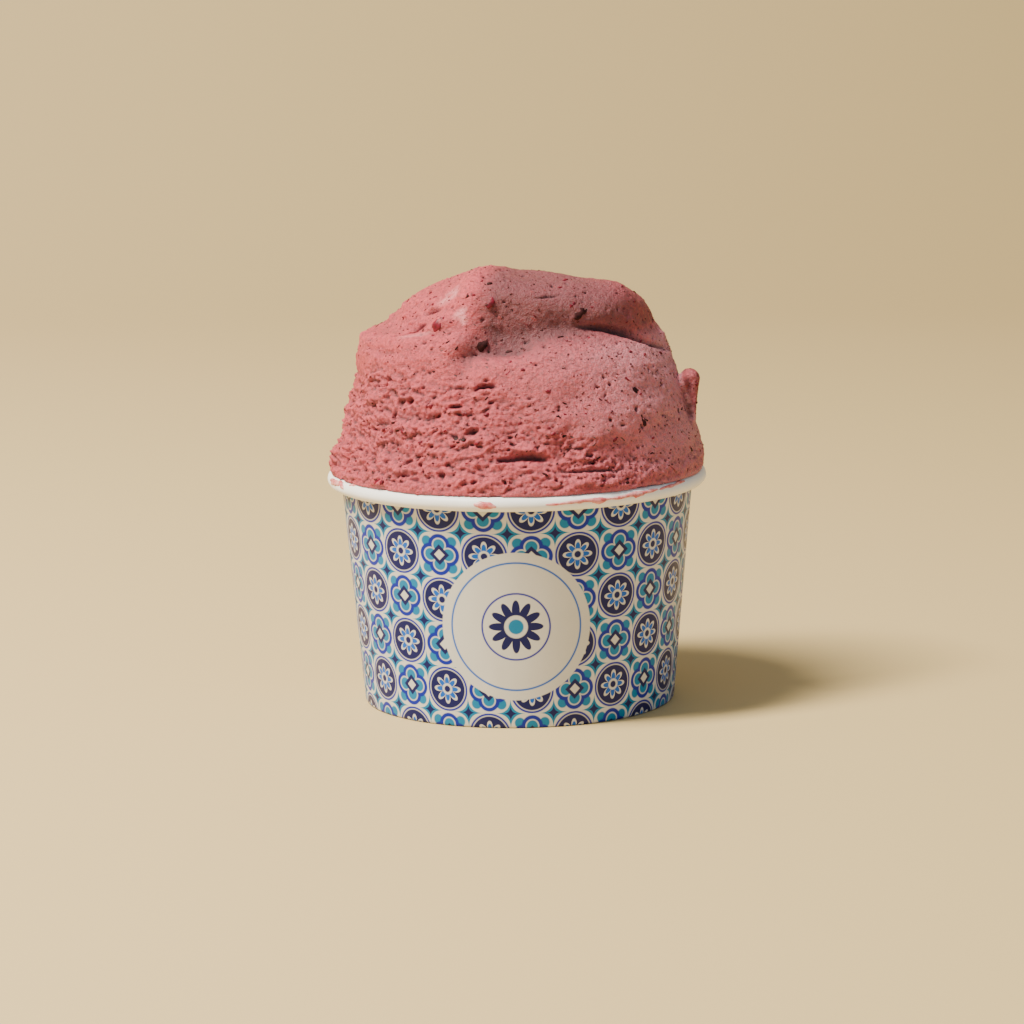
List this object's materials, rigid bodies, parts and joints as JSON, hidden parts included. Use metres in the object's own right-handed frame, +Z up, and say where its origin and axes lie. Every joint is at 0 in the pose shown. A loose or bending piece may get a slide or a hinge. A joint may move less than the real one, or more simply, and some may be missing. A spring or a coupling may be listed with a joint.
{
  "type": "gelato cup",
  "caption": "Round tapered paper cup with a rolled rim, filled and heaped high with folded berry gelato.",
  "frame": {"origin": "centre of the cup's foot ring, on the surface that it stands on", "axes": "+Z up along the cup's axis, -Y towards the front of the heap, where the fold opens"},
  "size_m": [0.09, 0.09, 0.1038],
  "materials": {
    "printed_paper": "satin coated paper, cream with a blue printed pattern",
    "base_paper": "satin coated white paper",
    "gelato": "soft matt, slightly wet"
  },
  "bodies": {
    "root": {"cup_sidewall": "printed_paper", "cup_base": "base_paper", "gelato": "gelato"}
  },
  "joints": []
}
